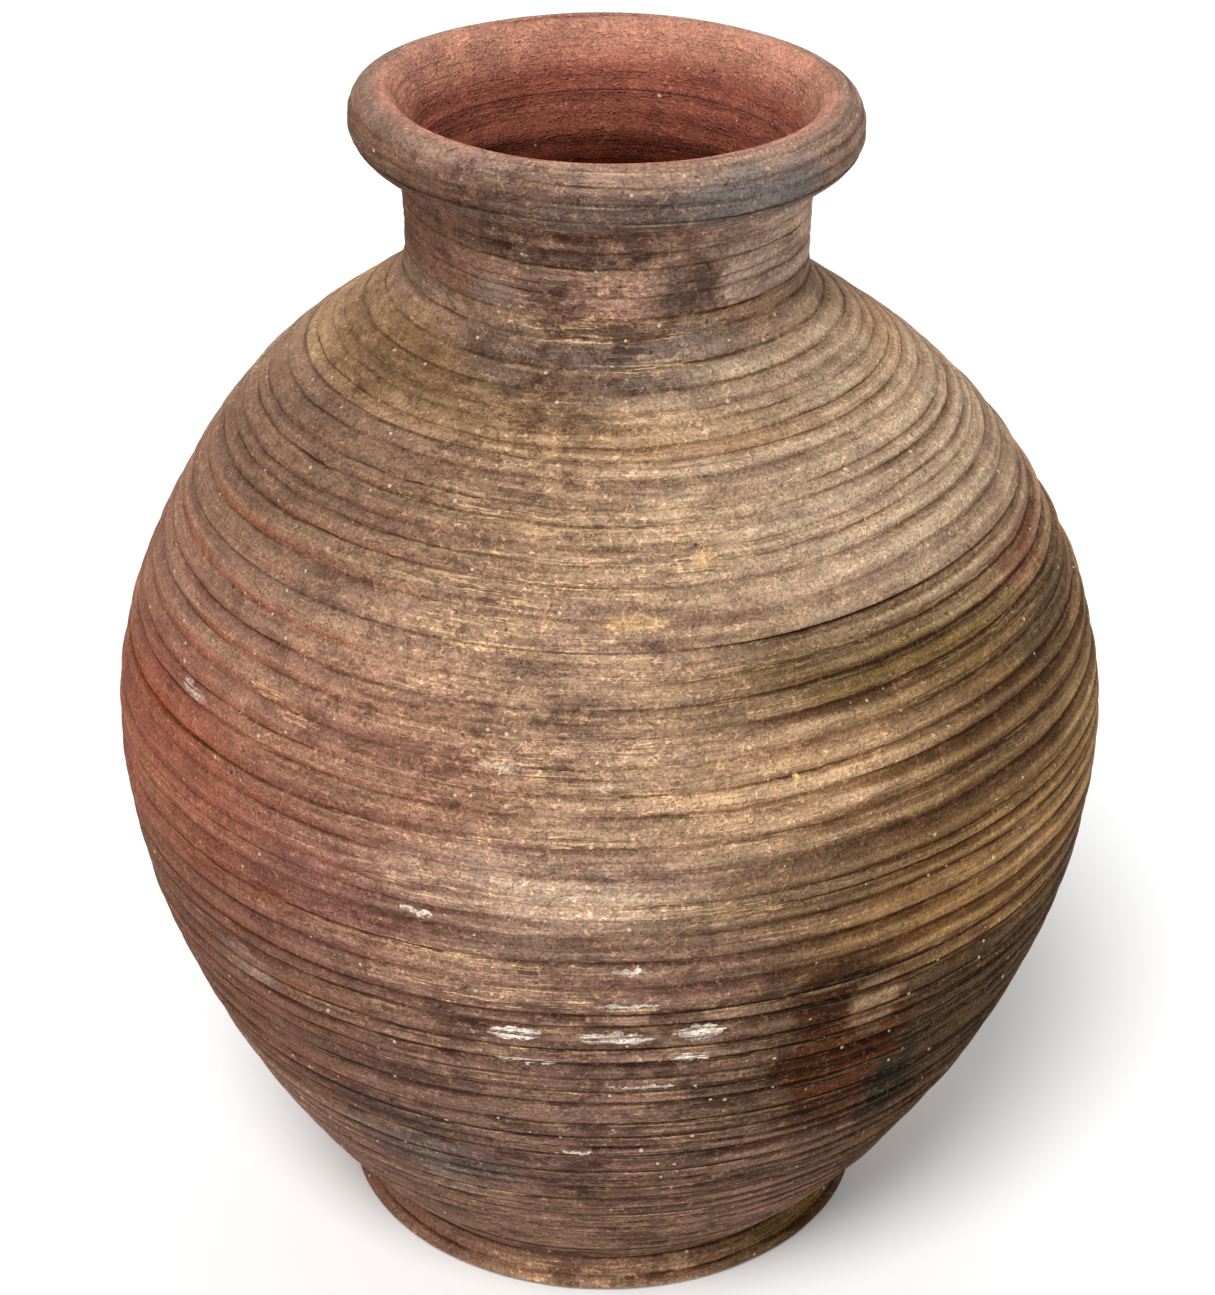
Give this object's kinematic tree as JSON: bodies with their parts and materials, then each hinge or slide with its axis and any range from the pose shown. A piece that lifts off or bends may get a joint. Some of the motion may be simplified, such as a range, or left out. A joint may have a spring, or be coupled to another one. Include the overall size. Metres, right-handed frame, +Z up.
{
  "type": "storage jar",
  "caption": "Tall unglazed clay storage jar with a wide round belly, narrow foot ring, short neck and heavy rolled rim, built of luted rings.",
  "frame": {"origin": "centre of the foot ring, on the ground that the jar stands on", "axes": "+Z up along the jar's axis, out of its mouth; -Y towards the side that the picture shows"},
  "size_m": [0.6416, 0.6414, 0.784],
  "materials": {
    "foot_clay": "matt, worn, earthy",
    "base_clay": "matt, sooty brown",
    "wall_clay": "matt, weathered, with throwing rings",
    "crown_clay": "matt, weathered, tan",
    "neck_clay": "matt, grey-brown patches",
    "rim_clay": "matt, handled smooth",
    "slip": "matt, dry slip"
  },
  "bodies": {
    "root": {"foot_ring": "foot_clay", "base_disc": "base_clay", "lower_wall": "wall_clay", "flank": "wall_clay", "lower_belly": "wall_clay", "belly": "wall_clay", "upper_belly": "wall_clay", "shoulder": "wall_clay", "crown": "crown_clay", "neck": "neck_clay", "rim": "rim_clay", "foot_lute": "slip", "base_lute": "slip", "lower_wall_lute": "slip", "flank_lute": "slip", "lower_belly_lute": "slip", "belly_lute": "slip", "upper_belly_lute": "slip", "shoulder_lute": "slip", "crown_lute": "slip", "neck_lute": "slip"}
  },
  "joints": []
}
